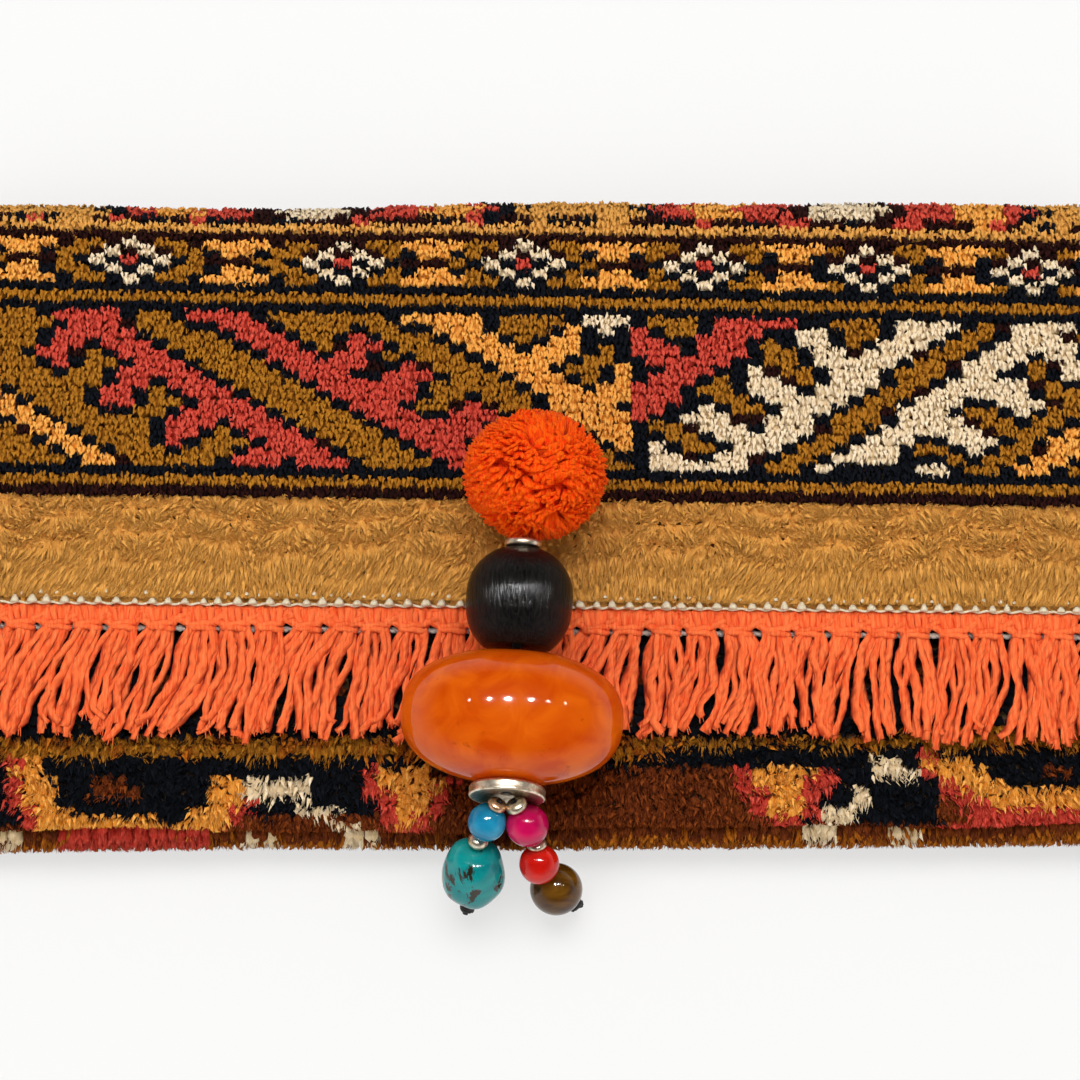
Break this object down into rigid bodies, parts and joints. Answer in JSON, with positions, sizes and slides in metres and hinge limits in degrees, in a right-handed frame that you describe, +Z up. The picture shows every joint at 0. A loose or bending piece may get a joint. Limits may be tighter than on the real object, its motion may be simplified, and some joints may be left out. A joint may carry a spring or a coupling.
{
  "type": "clutch bag",
  "caption": "Folded knotted-pile wool clutch with a front flap, a cotton fringe along the flap's end and a bead charm that hangs from a wool ball.",
  "frame": {"origin": "middle of the flat back face, which lies on the ground", "axes": "+X to the bag's right along its long way, +Y to the top fold, +Z up out of the front"},
  "size_m": [0.3, 0.18, 0.0532],
  "materials": {
    "wool_pile": "knotted wool pile",
    "lining_cloth": "plain woven cotton",
    "snap_steel": "plated steel",
    "edge_yarn": "wool yarn wrapped over the edge",
    "fringe_cotton": "twisted cotton yarn",
    "warp_thread": "undyed cotton thread",
    "pale_cord": "twisted cotton cord",
    "pompom_wool": "cut wool yarn",
    "silver_metal": "worn cast silver-coloured metal",
    "copper_metal": "worn copper-coloured metal",
    "black_wood": "satin black stained wood",
    "amber_resin": "polished cloudy resin",
    "waxed_cord": "black waxed cotton cord",
    "blue_stone": "polished stone",
    "turquoise_stone": "polished veined stone",
    "magenta_stone": "polished dyed stone",
    "red_stone": "polished dyed stone",
    "brown_stone": "polished banded stone"
  },
  "bodies": {
    "bag": {"rug_shell": "wool_pile", "lining": "lining_cloth", "snap_cup": "snap_steel", "snap_stud": "snap_steel", "left_side_seam": "edge_yarn", "right_side_seam": "edge_yarn", "left_flap_binding": "edge_yarn", "right_flap_binding": "edge_yarn", "fringe": "fringe_cotton", "edge_stitch": "warp_thread", "fringe_core_cord": "pale_cord", "pompom": "pompom_wool"},
    "charm": {"top_spacer": "silver_metal", "charm_cord": "waxed_cord", "amber_bead": "amber_resin", "bead_cap_disc": "silver_metal"},
    "black_bead": {"black_bead": "black_wood"},
    "left_strand": {"left_upper_spacer": "copper_metal", "blue_bead": "blue_stone", "left_lower_spacer": "silver_metal", "turquoise_bead": "turquoise_stone", "left_strand_cord": "waxed_cord"},
    "right_strand": {"right_upper_spacer": "silver_metal", "magenta_bead": "magenta_stone", "right_lower_spacer": "silver_metal", "red_bead": "red_stone", "brown_bead": "brown_stone", "right_strand_cord": "waxed_cord"}
  },
  "joints": [
    {"name": "charm_lift", "type": "hinge", "parent": "bag", "child": "charm", "pos_m": [-0.0012, 0.00353, 0.0385], "axis": [-1, 0, 0], "range_deg": [0, 120]},
    {"name": "black_bead_spin", "type": "hinge", "parent": "charm", "child": "black_bead", "pos_m": [-0.0048, -0.026, 0.037], "axis": [-0.062, -0.995, -0.0779], "continuous": true},
    {"name": "left_strand_lift", "type": "hinge", "parent": "charm", "child": "left_strand", "pos_m": [-0.00925, -0.0734, 0.03329], "axis": [-1, 0, 0], "range_deg": [0, 60]},
    {"name": "right_strand_lift", "type": "hinge", "parent": "charm", "child": "right_strand", "pos_m": [-0.00625, -0.0734, 0.03329], "axis": [-1, 0, 0], "range_deg": [0, 60]}
  ]
}
